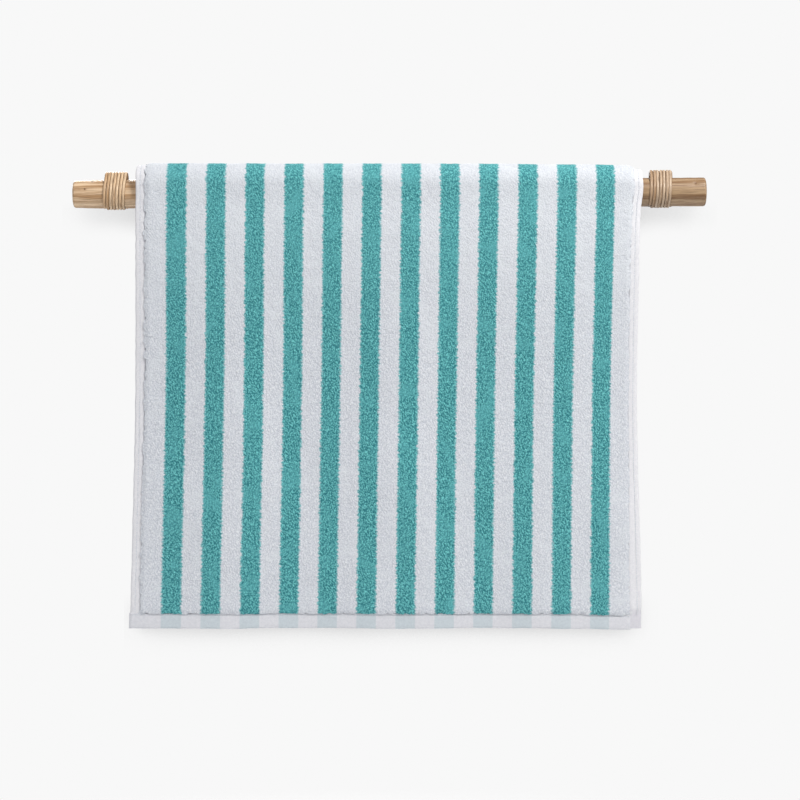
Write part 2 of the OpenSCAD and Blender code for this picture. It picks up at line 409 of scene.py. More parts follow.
# %% A short way to wire nodes
class Tree:
    """Adds nodes to one node tree."""

    def __init__(self, nodes_of):
        self.tree = nodes_of

    def add(self, kind, links=None, values=None, **settings):
        """A new node with its settings, plain values and links."""
        node = self.tree.nodes.new(kind)
        for key, value in settings.items():
            setattr(node, key, value)
        for key, value in (values or {}).items():
            node.inputs[key].default_value = value
        for key, source in (links or {}).items():
            self.link(source, node.inputs[key])
        return node

    def link(self, source, socket):
        """A wire from an output to an input."""
        self.tree.links.new(source, socket)

    def math(self, operation, a, b=0.0, c=None):
        """One step of arithmetic on outputs or plain numbers."""
        node = self.add("ShaderNodeMath", operation=operation)
        for slot, item in enumerate((a, b) if c is None else (a, b, c)):
            if isinstance(item, (int, float)):
                node.inputs[slot].default_value = item
            else:
                self.link(item, node.inputs[slot])
        return node.outputs[0]

    def mix(self, factor, a, b, blend="MIX"):
        """Colour a where the factor is 0 and colour b where it is 1, the node's inputs 6 and 7."""
        node = self.add("ShaderNodeMix", data_type="RGBA", blend_type=blend)
        for slot, item in ((0, factor), (6, a), (7, b)):
            if isinstance(item, (int, float, tuple)):
                node.inputs[slot].default_value = item
            else:
                self.link(item, node.inputs[slot])
        return node.outputs[2]

    def ramp(self, value, low, high):
        """0 below low, 1 above high and smooth between."""
        node = self.add("ShaderNodeMapRange", {"Value": value}, interpolation_type="SMOOTHSTEP")
        node.inputs["From Min"].default_value = low
        node.inputs["From Max"].default_value = high
        return node.outputs["Result"]

    def noise(self, place, scale, detail, flat=True, **more):
        """The outputs of a noise texture. Flat noise changes in two directions only."""
        values = {"Scale": scale, "Detail": detail, **more}
        kind = "2D" if flat else "3D"
        return self.add("ShaderNodeTexNoise", {"Vector": place}, values, noise_dimensions=kind).outputs

    def split(self, place):
        """The X, Y and Z of a place."""
        return self.add("ShaderNodeSeparateXYZ", {0: place}).outputs

    def stretch(self, place, scale):
        """A place with each of its three directions scaled."""
        return self.add("ShaderNodeMapping", {"Vector": place}, {"Scale": scale}).outputs[0]

    def surface(self, shader, colour, height, depth, strength):
        """Gives a shader its colour, and a bump from a height."""
        bump = self.add("ShaderNodeBump", {"Height": height}, {"Distance": depth, "Strength": strength})
        self.link(colour, shader.inputs["Base Color"])
        self.link(bump.outputs[0], shader.inputs["Normal"])


print("node helpers:", [word for word in dir(Tree) if word[0] != "_"])

# %% [markdown]
# Groups and materials start in the same way each time, so each has a short function. A group has named
# sockets, and is placed in every material that needs its effect. Colours are written as screen values
# from 0 to 255, and turned into the linear values that shaders use.

# %% New groups, materials and colours
def new_group(name, inputs, outputs):
    """An empty node group with named sockets: (Tree, input node's outputs, output node's inputs)."""
    group = bpy.data.node_groups.new(name, "ShaderNodeTree")
    for label, kind in inputs:
        group.interface.new_socket(label, in_out="INPUT", socket_type=kind)
    for label, kind in outputs:
        group.interface.new_socket(label, in_out="OUTPUT", socket_type=kind)
    tree = Tree(group)
    return tree, tree.add("NodeGroupInput").outputs, tree.add("NodeGroupOutput").inputs


def new_material(name, roughness, **constants):
    """A material with one Principled shader: (material, Tree, shader)."""
    material = bpy.data.materials.new(name)
    material.use_nodes = True
    tree = Tree(material.node_tree)
    shader = material.node_tree.nodes["Principled BSDF"]
    shader.inputs["Roughness"].default_value = roughness
    for label, value in constants.items():
        shader.inputs[label.replace("_", " ")].default_value = value
    return material, tree, shader


def srgb(red, green, blue):
    """A colour from 0 to 255 screen values to the linear values that shaders use."""
    parts = [c / 255 for c in (red, green, blue)]
    return tuple(c / 12.92 if c < 0.04045 else ((c + 0.055) / 1.055) ** 2.4 for c in parts) + (1.0,)


FLOAT, VECTOR = "NodeSocketFloat", "NodeSocketVector"
print("wiring helpers ready; mid grey is", round(srgb(128, 128, 128)[0], 3))

# %% [markdown]
# Terry cloth is a field of cotton loops, each about 2.5 mm across. A Voronoi pattern gives one round cell
# for each loop, and stretched noise breaks the cells up into twisted yarn. The group puts out the loops'
# height for a bump, a shade that is dark in the valleys, and a slow brushed pattern where the pile has
# been stroked the other way.

# %% The terry loop group
loops, given, result = new_group(
    "terry loops",
    [("Cloth", VECTOR), ("Loop", FLOAT)],
    [("Height", FLOAT), ("Shade", FLOAT), ("Brushed", FLOAT)],
)
sized = {0: given["Cloth"], "Scale": given["Loop"]}
scaled = loops.add("ShaderNodeVectorMath", sized, operation="SCALE").outputs[0]
warp = loops.noise(scaled, 0.7, 1.0)["Color"]
warped = loops.add("ShaderNodeVectorMath", {0: warp, 2: scaled}, operation="MULTIPLY_ADD")
warped.inputs[1].default_value = (0.9, 0.9, 0)
cells = loops.add(
    "ShaderNodeTexVoronoi", {"Vector": warped.outputs[0]},
    {"Scale": 1.0, "Randomness": 1.0, "Smoothness": 0.3},
    voronoi_dimensions="2D", feature="SMOOTH_F1",
)
patches = loops.noise(given["Cloth"], 24.0, 3.0, Distortion=0.8)[0]


def leaning_yarn(angle):
    """Noise stretched into short strands that lean by an angle."""
    rotated = {"Rotation": (0, 0, math.radians(angle))}
    lean = loops.add("ShaderNodeMapping", {"Vector": warped.outputs[0]}, rotated)
    squeezed = loops.stretch(lean.outputs[0], (1.0, 0.42, 1.0))
    return loops.noise(squeezed, 1.25, 2.5, Roughness=0.55)[0]


way = loops.ramp(patches, 0.42, 0.58)
yarn_left = loops.math("MULTIPLY", leaning_yarn(32), way)
yarn = loops.math("MULTIPLY_ADD", leaning_yarn(-28), loops.math("SUBTRACT", 1.0, way), yarn_left)
round_top = loops.math("SUBTRACT", 0.75, loops.math("MULTIPLY", cells.outputs["Distance"], 0.75))
loop_height = loops.math("MULTIPLY_ADD", yarn, 1.5, round_top)
loops.link(loop_height, result["Height"])
loops.link(loops.ramp(loop_height, 0.9, 1.72), result["Shade"])
loops.link(loops.ramp(patches, 0.5, 0.72), result["Brushed"])
print("group", loops.tree.name, "with", len(loops.tree.nodes), "nodes")

# %% [markdown]
# Both terry colours meet along the stripe edges. There the loops lean over the edge, so the line is
# ragged, and a little of each colour crosses to the other side. This group takes the cloth coordinates,
# repeats them once per stripe, and puts out a mask of the stripes with ragged edges, and a fringe where
# the two yarns stand mixed.

# %% The stripe group
stripes, given, result = new_group(
    "stripe edge", [("Cloth", VECTOR), ("Ragged", FLOAT)], [("Inside", FLOAT), ("Fringe", FLOAT)]
)
across = stripes.split(given["Cloth"])["X"]
turn = stripes.math("PINGPONG", across, STRIPE_PITCH / 2)
teeth = stripes.noise(stripes.stretch(given["Cloth"], (0.45, 1.0, 1.0)), 330.0, 2.0)[0]
wander = stripes.math("MULTIPLY", stripes.math("SUBTRACT", teeth, 0.5), given["Ragged"])
last = STRIPES * STRIPE_PITCH / 2
beyond = stripes.ramp(stripes.math("ABSOLUTE", across), last, last + 2 * MM)
half_gap = (STRIPE_PITCH - STRIPE_WIDTH - 1 * MM) / 2
inset = stripes.math("ADD", stripes.math("SUBTRACT", turn, half_gap), wander)
inset = stripes.math("SUBTRACT", inset, stripes.math("MULTIPLY", beyond, STRIPE_PITCH))
stripes.link(stripes.ramp(inset, -0.9 * MM, 0.9 * MM), result["Inside"])
from_edge = stripes.math("ABSOLUTE", stripes.math("SUBTRACT", inset, 0.7 * MM))
stripes.link(stripes.ramp(from_edge, 1.9 * MM, 0.2 * MM), result["Fringe"])
print("group", stripes.tree.name, "repeats every", round(STRIPE_PITCH / MM, 1), "mm")

# %% [markdown]
# The two terry materials share both groups. Cotton is rough and has no gloss, and the tiny fibres that
# stand off each loop catch light at the edges, which is what the sheen is for. Teal yarn shows darker
# valleys than white yarn, because white cotton passes light from loop to loop.

# %% The terry materials
TEAL_YARN = {"valley": srgb(54, 126, 134), "tip": srgb(126, 214, 214), "brushed": srgb(98, 178, 182)}
WHITE_YARN = {"valley": srgb(203, 208, 216), "tip": srgb(234, 237, 241), "brushed": srgb(221, 226, 231)}
FRINGE = srgb(170, 210, 216)
LOOPS_PER_METRE = 400.0
PILE_RAGGED, WEAVE_RAGGED = 7.5 * MM, 1.5 * MM


def terry_material(name, tint, loop_depth):
    """Looped pile. Both yarns are in it, because loops of each colour cross the stripe edges."""
    material, tree, shader = new_material(
        name, 0.95, Sheen_Weight=0.3, Sheen_Roughness=0.6, Specular_IOR_Level=0.12
    )
    shader.inputs["Sheen Tint"].default_value = tint
    cloth = tree.add("ShaderNodeUVMap", uv_map="cloth").outputs[0]
    loop = tree.add("ShaderNodeGroup", {"Cloth": cloth}, {"Loop": LOOPS_PER_METRE}, node_tree=loops.tree)
    stripe = tree.add("ShaderNodeGroup", {"Cloth": cloth}, {"Ragged": PILE_RAGGED}, node_tree=stripes.tree)
    down = tree.math("ABSOLUTE", tree.split(cloth)["Y"])
    near_fold = tree.ramp(down, 0.34, 0.12)
    yarns = []
    for yarn, pressed in ((WHITE_YARN, 0.4), (TEAL_YARN, 0.1)):
        colour = tree.mix(loop.outputs["Shade"], yarn["valley"], yarn["tip"])
        brushed = tree.math("MULTIPLY", loop.outputs["Brushed"], 0.55)
        smooth = tree.math("MULTIPLY_ADD", near_fold, pressed, brushed)
        yarns.append(tree.mix(smooth, colour, yarn["brushed"]))
    colour = tree.mix(stripe.outputs["Inside"], yarns[0], yarns[1])
    colour = tree.mix(tree.math("MULTIPLY", stripe.outputs["Fringe"], 0.42), colour, FRINGE)
    tree.surface(shader, colour, loop.outputs["Height"], loop_depth, 0.9)
    return material


teal_terry = terry_material("teal terry", TEAL_YARN["tip"], 0.95 * MM)
white_terry = terry_material("white terry", WHITE_YARN["tip"], 0.65 * MM)
print("terry materials:", teal_terry.name, "and", white_terry.name)

# %% [markdown]
# The hems, the cloth between the piles, the thread and the label are flat woven. Two crossed waves make
# the over and under of a plain weave. In the end hem the teal warp threads run on below the pile, so each
# stripe continues as a faint tint, which the stripe group gives again.

# %% The weave group and the flat cloth materials
weave, given, result = new_group(
    "plain weave", [("Cloth", VECTOR), ("Threads", FLOAT)], [("Height", FLOAT), ("Shade", FLOAT)]
)
parts = weave.split(given["Cloth"])
warp_wave = weave.math("SINE", weave.math("MULTIPLY", parts["X"], given["Threads"]))
weft_wave = weave.math("SINE", weave.math("MULTIPLY", parts["Y"], given["Threads"]))
crossing = weave.math("MULTIPLY", warp_wave, weft_wave)
uneven = weave.noise(given["Cloth"], 240.0, 4.0)[0]
cloth_height = weave.math("MULTIPLY_ADD", uneven, 1.6, crossing)
weave.link(cloth_height, result["Height"])
weave.link(weave.ramp(cloth_height, -0.1, 1.7), result["Shade"])


def woven_material(name, light, dark, threads, depth, roughness, tint=None, corner_shade=None, **constants):
    """Flat woven cloth. The tint follows the stripes, and the corner shade is painted shade on the lower
    right.
    """
    material, tree, shader = new_material(name, roughness, **constants)
    cloth = tree.add("ShaderNodeUVMap", uv_map="cloth").outputs[0]
    pattern = tree.add("ShaderNodeGroup", {"Cloth": cloth}, {"Threads": threads}, node_tree=weave.tree)
    colour = tree.mix(pattern.outputs["Shade"], dark, light)
    if tint:
        ragged = {"Ragged": WEAVE_RAGGED}
        stripe = tree.add("ShaderNodeGroup", {"Cloth": cloth}, ragged, node_tree=stripes.tree)
        colour = tree.mix(stripe.outputs["Inside"], colour, tint, "MULTIPLY")
    # Painted shade: the right side hem is darkened below the pile's end, where it folds over the end hem.
    if corner_shade:
        place = tree.split(cloth)
        low = tree.ramp(tree.math("ABSOLUTE", place["Y"]), pile_end - 10 * MM, pile_end + 1 * MM)
        right = tree.ramp(place["X"], 0.0, 0.1)
        colour = tree.mix(tree.math("MULTIPLY", low, right), colour, corner_shade, "MULTIPLY")
    tree.surface(shader, colour, pattern.outputs["Height"], depth, 0.6)
    return material


HEM_LIGHT, HEM_DARK = srgb(243, 243, 245), srgb(222, 223, 228)
cotton = {"Sheen_Weight": 0.15, "Sheen_Roughness": 0.5, "Specular_IOR_Level": 0.25}
# The side hems carry a painted shade at the towel's lower right corner.
side_hem_weave = woven_material(
    "side hem weave", HEM_LIGHT, HEM_DARK, 5200.0, 0.12 * MM, 0.85, corner_shade=srgb(241, 240, 243), **cotton
)
end_hem_weave = woven_material(
    "end hem weave", srgb(233, 234, 238), srgb(211, 213, 219), 5200.0, 0.12 * MM, 0.85,
    tint=srgb(233, 243, 244), **cotton
)
base_weave = woven_material("base weave", HEM_LIGHT, srgb(205, 208, 214), 3600.0, 0.2 * MM, 0.9, **cotton)
cotton_thread = woven_material(
    "cotton thread", srgb(232, 236, 241), srgb(205, 211, 219), 9000.0, 0.1 * MM, 0.6, **cotton
)
label_satin = woven_material(
    "label satin", srgb(238, 239, 242), srgb(222, 224, 229), 12000.0, 0.04 * MM, 0.35,
    Sheen_Weight=0.1, Sheen_Roughness=0.3, Specular_IOR_Level=0.5,
)
print("flat cloth materials:", end_hem_weave.name, base_weave.name, cotton_thread.name, label_satin.name)

# %% [markdown]
# Wood and cane are both long plant fibres, so one group serves the rail, the packing blocks and the cane.
# It stretches noise along the grain for the fibres, adds wider bands of darker growth and a few knots,
# and puts out a mask for each. The rail's grain runs along X, and the cane's runs along its strand, so
# the group takes its coordinates ready made.

# %% The fibre group
fibres, given, result = new_group(
    "plant fibre", [("Place", VECTOR), ("Fine", FLOAT)],
    [("Height", FLOAT), ("Bands", FLOAT), ("Pores", FLOAT), ("Knots", FLOAT)],
)
grain = fibres.stretch(given["Place"], (0.035, 1.0, 1.0))
fine = {"Vector": grain, "Scale": given["Fine"]}
fine_grain = fibres.add("ShaderNodeTexNoise", fine, {"Detail": 5.0}).outputs[0]
broad = fibres.noise(grain, 130.0, 3.0, flat=False, Distortion=0.8)[0]
spots = fibres.stretch(given["Place"], (0.55, 1.0, 1.0))
knots = fibres.add("ShaderNodeTexVoronoi", {"Vector": spots}, {"Scale": 26.0, "Randomness": 1.0})
pores = fibres.ramp(fine_grain, 0.52, 0.36)
knot = fibres.ramp(knots.outputs["Distance"], 0.16, 0.05)
height = fibres.math("SUBTRACT", fine_grain, fibres.math("MULTIPLY", knot, 0.8))
fibres.link(height, result["Height"])
fibres.link(fibres.ramp(broad, 0.34, 0.66), result["Bands"])
fibres.link(pores, result["Pores"])
fibres.link(knot, result["Knots"])
print("group", fibres.tree.name, "with", len(fibres.tree.nodes), "nodes")

# %% [markdown]
# A few marks belong to one place on the rail: dark knots where twigs grew, and growth rings on the sawn
# ends. Both are worked out from the distance to a point or a line in the rail's own space, roughened by
# noise.

# %% Knots and growth rings
RING_STEP = 1.9 * MM


def knot_mask(tree, places):
    """Dark where the surface is close to one of the given knots: (centre, radius)."""
    here = tree.add("ShaderNodeTexCoord").outputs["Object"]
    frayed = tree.noise(here, 500.0, 2.0, flat=False)[0]
    total = 0.0
    for centre, radius in places:
        away = tree.add("ShaderNodeVectorMath", {0: here}, operation="DISTANCE")
        away.inputs[1].default_value = centre
        ragged = tree.math("MULTIPLY_ADD", frayed, radius, away.outputs["Value"])
        total = tree.math("MAXIMUM", total, tree.ramp(ragged, radius * 1.7, radius * 1.1))
    return total


def end_grain(tree, colour, light, dark, tip):
    """Growth rings on the sawn ends, at a distance of tip to either side of the middle."""
    here = tree.add("ShaderNodeTexCoord").outputs["Object"]
    flat = tree.add("ShaderNodeVectorMath", {0: here}, operation="MULTIPLY_ADD")
    flat.inputs[1].default_value = (0, 1, 1)
    flat.inputs[2].default_value = (0, 4 * MM, -3 * MM)
    reach = tree.add("ShaderNodeVectorMath", {0: flat.outputs[0]}, operation="LENGTH").outputs["Value"]
    wobble = tree.noise(here, 70.0, 2.0, flat=False)[0]
    turns = tree.math("MULTIPLY_ADD", wobble, 14.0, tree.math("MULTIPLY", reach, 2 * math.pi / RING_STEP))
    ring = tree.ramp(tree.math("SINE", turns), -0.9, 0.9)
    along = tree.math("ABSOLUTE", tree.split(here)["X"])
    at_end = tree.math("MULTIPLY", tree.ramp(along, tip - 1.6 * MM, tip - 0.3 * MM), 0.75)
    return tree.mix(at_end, colour, tree.mix(ring, dark, light))


RAIL_KNOTS = [
    ((0.461, -0.0175, 0.0115), 2.2 * MM),
    ((-0.448, -0.0095, 0.0182), 2.4 * MM),
    ((-0.4586, -0.019, 0.006), 1.7 * MM),
    ((-0.439, -0.0192, -0.0055), 1.3 * MM),
    ((0.447, 0.015, 0.0145), 2.5 * MM),
    ((-0.455, 0.017, -0.0105), 2.5 * MM),
]
print("knots on the rail:", len(RAIL_KNOTS))

# %% [markdown]
# One function makes all three fibre materials. It takes the light and dark growth colours and the colour
# of the pores, and then what sets the finish apart: how browned the right half is, how much painted shade
# darkens the grooves between the turns of cane, and which knots and sawn ends there are. The right half of
# the rail has weathered browner than the left.

# %% The wood and cane materials
def fibre_material(
    name, place, light, dark, pore, fine, depth, roughness,
    knotted=0.8, porous=0.6, browner=None, marks=(), groove_shade=None, tip=None, **constants
):
    """Wood or cane. Place makes the coordinates along and across the grain."""
    material, tree, shader = new_material(name, roughness, **constants)
    pattern = tree.add("ShaderNodeGroup", {"Place": place(tree)}, {"Fine": fine}, node_tree=fibres.tree)
    colour = tree.mix(pattern.outputs["Bands"], dark, light)
    colour = tree.mix(tree.math("MULTIPLY", pattern.outputs["Pores"], porous), colour, pore)
    if tip:
        colour = end_grain(tree, colour, light, dark, tip)
    if browner:
        along = tree.split(room_place(tree))["X"]
        colour = tree.mix(tree.ramp(along, -0.2, 0.3), colour, browner, "MULTIPLY")
    # Painted shade: the strand darkens towards its two edges, where the grooves between the turns lie in
    # shade.
    if groove_shade:
        across = tree.split(place(tree))["Y"]
        groove = tree.ramp(tree.math("ABSOLUTE", across), groove_shade[0], groove_shade[1])
        colour = tree.mix(tree.math("MULTIPLY", groove, 0.8), colour, pore)
    colour = tree.mix(tree.math("MULTIPLY", pattern.outputs["Knots"], knotted), colour, pore)
    if marks:
        colour = tree.mix(tree.math("MULTIPLY", knot_mask(tree, marks), 0.85), colour, pore)
    tree.surface(shader, colour, pattern.outputs["Height"], depth, 0.7)
    gloss = tree.math("MULTIPLY_ADD", pattern.outputs["Pores"], 0.25, roughness)
    tree.link(gloss, shader.inputs["Roughness"])
    return material


def room_place(tree):
    """Coordinates for the rail, whose grain runs along X."""
    return tree.add("ShaderNodeTexCoord").outputs["Object"]


def strand_place(tree):
    """Coordinates along and across a wound strand."""
    return tree.add("ShaderNodeUVMap", uv_map="cloth").outputs[0]


PORE = srgb(112, 78, 48)
rail_wood = fibre_material(
    "rail wood", room_place, srgb(248, 219, 182), srgb(186, 146, 104), PORE, 900.0, 0.2 * MM, 0.36,
    knotted=0.75, porous=0.42, browner=srgb(190, 182, 172), marks=RAIL_KNOTS, tip=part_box("rail")[1].x,
    Specular_IOR_Level=0.5,
)
packing_wood = fibre_material(
    "packing wood", room_place, srgb(178, 146, 110), srgb(150, 118, 84), srgb(96, 72, 50),
    700.0, 0.4 * MM, 0.65,
)
# The cane gets painted shade along the edges of each turn, in the grooves between the turns.
cane_skin = fibre_material(
    "cane skin", strand_place, srgb(243, 214, 177), srgb(200, 160, 116), PORE, 1500.0, 0.2 * MM, 0.34,
    knotted=0.35, browner=srgb(222, 224, 232), groove_shade=(1.5 * MM, 2.4 * MM), Specular_IOR_Level=0.5,
)
print("fibre materials:", rail_wood.name, packing_wood.name, cane_skin.name)

# %% [markdown]
# The cloth between the two piles is the sheet that carries everything else. It is one closed skin of each
# half of the towel, two millimetres thick, from the top of the fold down to the end hem.

# %% Weave the base cloth
FACES = {"outer": 1, "inner": -1}


def base_cloth(name, side):
    """The ground cloth of one half of the towel."""
    s = np.linspace(0, pile_end + 1 * MM, 100)
    u = np.linspace(-pile_edge, pile_edge, 52)
    across = np.concatenate([u, u[::-1]])
    height = ground_half * np.repeat([1, -1], len(u))
    points = on_cloth(across[None, :], s[:, None], side, height[None, :])
    cloth = np.stack(np.broadcast_arrays(across[None, :], side * s[:, None]), -1)
    return make_piece(name, [loft(points, cloth)], base_weave)


base_cloths = {word: base_cloth(word + "_base_weave", side) for word, side in HALVES.items()}
print("base cloth is", round(2 * ground_half / MM, 1), "mm thick")

# %% [markdown]
# The pile is laid in bands, one loft for each stripe on each face. Neighbouring bands share the same
# wandering edge, so no gap opens between them. The outer face has rows about as fine as the loops, and
# noise lifts the points a little. Over the rail the inner pile bunches up, because the inside of a fold
# has less room, and it rests on the wood.

# %% Where the bands run and how high they stand
rail_radius = (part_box("rail")[1].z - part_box("rail")[0].z) / 2
first = -(STRIPES - 1) / 2 * STRIPE_PITCH - STRIPE_WIDTH / 2
EDGES = [-pile_edge]
for stripe in range(STRIPES):
    EDGES += [first + stripe * STRIPE_PITCH, first + stripe * STRIPE_PITCH + STRIPE_WIDTH]
EDGES.append(pile_edge)


def wide_hem(s, side):
    """How much wider the right hem gets towards the front's lower corner."""
    return 4.5 * MM * ease((s - 0.42) / 0.2) * (side != BACK)


def band_edge(k, s, side):
    """Where edge number k of the bands runs, at each distance s down the cloth."""
    ragged = soft_noise(side * s, 37.0 * k + 0 * s, 2.6 * MM, 11)
    wander = soft_noise(side * s, 5.0 * k + 0 * s, 60 * MM, 12)
    if k in (0, len(EDGES) - 1):
        outward = -1 if k == 0 else 1
        tufts = soft_noise(side * s, 3.0 * k + 0 * s, 5.5 * MM, 14)
        inward = wide_hem(s, side) if k else 0
        return EDGES[k] - inward + outward * (0.6 + 1.4 * ragged + 1.6 * tufts) * MM
    return EDGES[k] + (0.2 * ragged + 0.5 * wander) * MM


def terry_tip(u, s, side, face):
    """Height of the pile's tips above the middle of the cloth."""
    down = side * s + 3 * face
    grain = 0.34 * soft_noise(u, down, 2.7 * MM, 21) + 0.25 * soft_noise(u, down, 6 * MM, 22)
    grain = grain + 0.3 * soft_noise(u, down, 24 * MM, 23)
    tip = pile_half + (grain - 0.35) * MM
    # The pile is lower along the side hems and along the end.
    pile_side = pile_edge - wide_hem(s, side) * (u > 0)
    tip = tip - 1.6 * MM * (1 - ease((pile_side - np.abs(u)) / (4 * MM)))
    tip = tip - 1.8 * MM * (1 - ease((pile_end - s) / (4 * MM)))
    if face > 0:
        return tip
    # Over the rail the inner pile fills the room down to the wood.
    turn = np.minimum(s / fold_radius, math.pi / 2)
    drop = np.maximum(s - quarter, 0)
    lift = np.maximum(fold_lift - drop, 0)
    on_fold = turn < math.pi / 2
    sideways = np.where(on_fold, fold_lift * np.sin(turn), lift)
    rail_side = np.sqrt((rail_radius + 0.5 * MM) ** 2 - sideways**2)
    room = fold_radius + np.where(on_fold, fold_lift * np.cos(turn), 0) - rail_side
    bunched = room + (grain - 0.85) * MM - 1.2 * MM * ease(drop / fold_lift)
    share = ease((fold_lift + 4 * MM - drop) / (10 * MM)) * ease((pile_edge - np.abs(u)) / (8 * MM))
    return tip + np.maximum(bunched - tip, 0) * share


print("bands across the towel:", len(EDGES) - 1)

# %% [markdown]
# Every second band is white and the others are teal, so one function lays both piles. A band's section
# runs over its tips and back along the base cloth. The two faces of a band are lofts of one piece.

# %% Lay the terry bands
ROWS = 276
OUTER_STEP, INNER_STEP = 2.5 * MM, 5 * MM


def terry_bands(name, side, start, material):
    """Every second band of pile, on both faces."""
    s = np.linspace(0, pile_end, ROWS)
    lofts = []
    total = sum(EDGES[k + 1] - EDGES[k] for k in range(start, len(EDGES) - 1, 2))
    used = {"outer": 0.0, "inner": 0.8}
    for k in range(start, len(EDGES) - 1, 2):
        width = EDGES[k + 1] - EDGES[k]
        for word, face in FACES.items():
            count = max(2, round(width / (OUTER_STEP if face > 0 else INNER_STEP)))
            t = np.linspace(0, 1, count + 1)
            left, right = band_edge(k, s, side)[:, None], band_edge(k + 1, s, side)[:, None]
            u = left + t * (right - left)
            down = np.repeat(s[:, None], count + 1, 1)
            down[-1] += (1.1 + 1.9 * soft_noise(u[-1], 0 * u[-1] + side, 3.2 * MM, 13)) * MM
            tip = face * terry_tip(u, down, side, face)
            base = np.full((ROWS, 2), face * ground_half)
            u = np.concatenate([u, right, left], 1)
            down = np.concatenate([down, np.repeat(s[:, None], 2, 1)], 1)
            points = on_cloth(u, down, side, np.concatenate([tip, base], 1))
            cloth = np.stack([u, side * down], -1)
            shares = np.concatenate([np.linspace(0, 0.92, count + 1), [0.94, 0.98, 1.0]])
            reach = (0.79 if face > 0 else 0.17) * width / total
            place = (used[word], used[word] + reach * 0.995, 0.002, 0.98)
            used[word] += reach
            hard = (count, count + 1, count + 2)
            lofts.append(loft(points, cloth, hard, place, shares))
    return make_piece(name, lofts, material)


terry = {}
for word, side in HALVES.items():
    terry[word] = [
        terry_bands(word + "_white_terry", side, 0, white_terry),
        terry_bands(word + "_teal_terry", side, 1, teal_terry),
    ]
print("piles laid:", [piece.name for pair in terry.values() for piece in pair])

# %% [markdown]
# A side hem is the selvedge of the towel, turned over twice and sewn flat. Its outer edge is a round
# fold, the line of stitching pulls a shallow groove, and the edge wanders a little. The end hem is the
# same thing across the bottom. At the left corner it is turned over the side hem, and at the right corner
# it is tucked in behind the side hem's edge.

# %% Fold the side hems and the end hems
ROUND = np.linspace(0, math.pi, 7)
hem_width = edge - pile_edge
hem_height = hem_top - hem_bottom
SEAM_INSET, STITCH = 7 * MM, 3.5 * MM


def hem_section(width, seam, groove):
    """Points round a folded hem: distance from the pile, and height as a share of the half thickness."""
    out = np.array([0, 0.06, 0.2, 0.36, 0.52, 0.7, 0.84]) * (width - 2 * MM)
    out = np.sort(np.concatenate([out, [seam - 1.2 * MM, seam, seam + 1.2 * MM]]))
    dip = groove * np.maximum(1 - np.abs(out - seam) / (1.1 * MM), 0)
    dip[0] = 0.2
    edge_out, edge_high = width - 2 * MM + 2 * MM * np.sin(ROUND), np.cos(ROUND)
    outline = np.concatenate([out, edge_out, out[::-1]])
    return outline, np.concatenate([1 - dip, edge_high, dip[::-1] - 1])


def side_hem(name, side, hand, curl, reach):
    """The turned edge down one side of one half."""
    count = 2 * round(reach / STITCH)
    s = np.linspace(0, reach, count)[:, None]
    across, share = hem_section(hem_width, hem_width - SEAM_INSET, 0.22)
    down = side * s
    wander = 0.5 * soft_noise(down, 0 * s + hand, 26 * MM, 31)
    wander = wander + 0.35 * soft_noise(down, 0 * s + hand, 9 * MM, 32)
    wider = wide_hem(s, side) * (hand > 0)
    stretch = 1 + (wander * MM + wider) / hem_width
    pucker = 1 + 0.07 * np.cos(2 * math.pi * s / STITCH)
    pucker = pucker + 0.1 * soft_noise(down, across * 3, 12 * MM, 33)
    u = hand * (pile_edge - wider + across * stretch)
    roll = curl * (0.7 + 0.4 * soft_noise(down, 0 * s, 70 * MM, 34)) * (across / hem_width) ** 2
    tuck = 1.5 * MM * ease((s - pile_end + 12 * MM) / (12 * MM)) * (hand > 0)
    points = on_cloth(u, s, side, share * hem_half * pucker - roll * ease(s / 0.06) - tuck)
    cloth = np.stack(np.broadcast_arrays(u, down), -1)
    return make_piece(name, [loft(points, cloth)], side_hem_weave)


def end_hem(name, side):
    """The turned end of one half."""
    count = 301
    left_end = -edge - 1.6 * MM
    right_end = pile_edge + 5.5 * MM - 1.8 * wide_hem(pile_end, side)
    u = np.linspace(left_end, right_end, count)[:, None]
    down, share = hem_section(hem_height, 3 * MM, 0.3)
    wander = 0.7 * soft_noise(u, 0 * u + side, 45 * MM, 41)
    wander = wander + 0.3 * soft_noise(u, 0 * u + side, 12 * MM, 42)
    stretch = 1 + wander * MM / hem_height
    pucker = 1 + 0.1 * soft_noise(u, down * 2, 9 * MM, 43)
    pucker = pucker + 0.06 * np.cos(math.pi * np.arange(count))[:, None]
    closing = np.sqrt(np.clip(np.minimum(u - left_end, right_end - u) / (2.5 * MM), 0.06, 1))
    s = pile_end + down * stretch
    points = on_cloth(u, s, side, share * hem_half * pucker * closing)
    cloth = np.stack(np.broadcast_arrays(u, side * s), -1)
    return make_piece(name, [loft(points, cloth)], end_hem_weave)


hems = {}
for word, side in HALVES.items():
    hems[word] = {
        "left": side_hem(word + "_left_selvedge", side, -1, 0.6 * MM, pile_end + 0.5 * MM),
        "right": side_hem(word + "_right_selvedge", side, 1, 1.8 * MM, half_length - 2 * MM),
        "end": end_hem(word + "_turned_end", side),
    }
print("hems are", round(hem_width / MM, 1), "and", round(hem_height / MM, 1), "mm wide")

# %% [markdown]
# The seams are made stitch by stitch. Each stitch is a short fat capsule of thread that dives into the
# cloth at both ends. All stitches of a seam are placed at once, as one array, and the cloth function
# bends them with the cloth.

# %% Sew the seams
def capsule():
    """Points of one stitch along its first axis: rows by section points by 3, in shares of its size."""
    along = np.array([-1, -0.82, -0.45, 0, 0.45, 0.82, 1])
    thick = np.array([0.12, 0.62, 0.95, 1, 0.95, 0.62, 0.12])
    angle = np.linspace(0, 2 * math.pi, 7)[:-1]
    rows = [[(a, t * math.cos(p), t * math.sin(p)) for p in angle] for a, t in zip(along, thick)]
    return np.array(rows)


